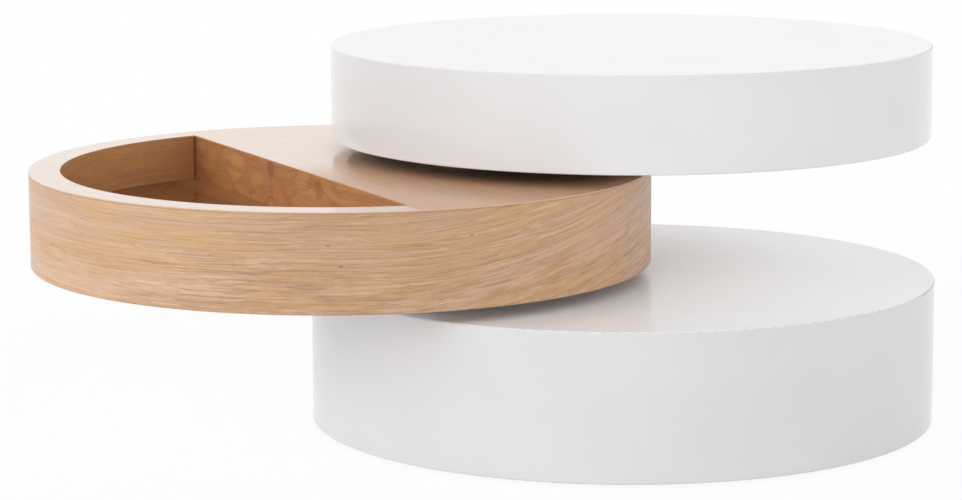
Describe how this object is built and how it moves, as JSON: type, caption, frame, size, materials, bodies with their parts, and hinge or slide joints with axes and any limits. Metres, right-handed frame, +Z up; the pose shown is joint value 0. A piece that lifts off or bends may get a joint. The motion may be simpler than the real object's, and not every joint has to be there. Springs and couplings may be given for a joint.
{
  "type": "swivel coffee table",
  "caption": "Low coffee table of round drums stacked on an off-centre column: a white base, an oak tray with a half-moon compartment and a white top, where tray and top swivel.",
  "frame": {"origin": "on the column's swivel axis, at floor level, on the foot under the column", "axes": "+Z up along the swivel axis; +X from the tray's centre to the column, square to the compartment's straight wall; at rest the tray's centre is on -X, the top's centre 4.4 degrees and the base's centre 58.7 degrees from +X towards -Y"},
  "size_m": [0.9115, 0.7332, 0.35],
  "materials": {
    "white_lacquer": "white lacquer on fibreboard, semi-gloss",
    "oak": "oak with clear matt lacquer",
    "fibreboard": "raw sealed board",
    "softwood": "planed softwood",
    "column_steel": "turned, oiled",
    "race_steel": "zinc plated",
    "ball_steel": "polished",
    "zinc_steel": "zinc plated",
    "nylon": "natural",
    "glide_nylon": "black"
  },
  "bodies": {
    "base": {"base_top_panel": "white_lacquer", "base_side_wall": "white_lacquer", "base_bottom_panel": "fibreboard", "base_posts": "softwood", "base_dowels": "softwood", "base_pivot_block": "softwood", "base_glides": "glide_nylon", "column_flange": "column_steel", "pivot_column": "column_steel", "flange_bolts": "zinc_steel", "flange_washers": "zinc_steel", "flange_nuts": "zinc_steel", "lower_race_plate": "race_steel", "lower_race_screws": "zinc_steel", "head_race_plate": "race_steel", "head_screws": "zinc_steel", "thrust_washer": "zinc_steel", "lock_nut": "zinc_steel"},
    "lower_cage": {"lower_cage": "nylon", "lower_balls": "ball_steel"},
    "tray": {"tray_rim": "oak", "tray_bottom_panel": "fibreboard", "tray_floor": "oak", "floor_bearers": "softwood", "tray_divider": "oak", "tray_deck": "fibreboard", "deck_ledger": "softwood", "tray_posts": "softwood", "tray_hub_block": "softwood", "tray_bushes": "nylon", "tray_top_veneer": "oak", "tray_race_plate": "race_steel", "tray_race_screws": "zinc_steel"},
    "upper_cage": {"upper_cage": "nylon", "upper_balls": "ball_steel"},
    "top": {"top_panel": "white_lacquer", "top_side_wall": "white_lacquer", "top_bottom_panel": "fibreboard", "top_posts": "softwood", "top_dowels": "softwood", "top_hub_block": "softwood", "top_bush": "nylon", "top_race_plate": "race_steel", "top_race_screws": "zinc_steel"}
  },
  "joints": [
    {"name": "tray_swivel", "type": "hinge", "parent": "base", "child": "tray", "pos_m": [0, 0, 0.198], "axis": [0, 0, 1], "continuous": true},
    {"name": "lower_cage_turn", "type": "hinge", "parent": "base", "child": "lower_cage", "pos_m": [0, 0, 0.14625], "axis": [0, 0, 1], "continuous": true},
    {"name": "top_swivel", "type": "hinge", "parent": "base", "child": "top", "pos_m": [0, 0, 0.284], "axis": [0, 0, 1], "continuous": true},
    {"name": "upper_cage_turn", "type": "hinge", "parent": "base", "child": "upper_cage", "pos_m": [0, 0, 0.25175], "axis": [0, 0, 1], "continuous": true}
  ],
  "couplings": [
    {"joint": "lower_cage_turn", "follows": "tray_swivel", "ratio": 0.5},
    {"joint": "upper_cage_turn", "follows": "top_swivel", "ratio": 0.5}
  ]
}
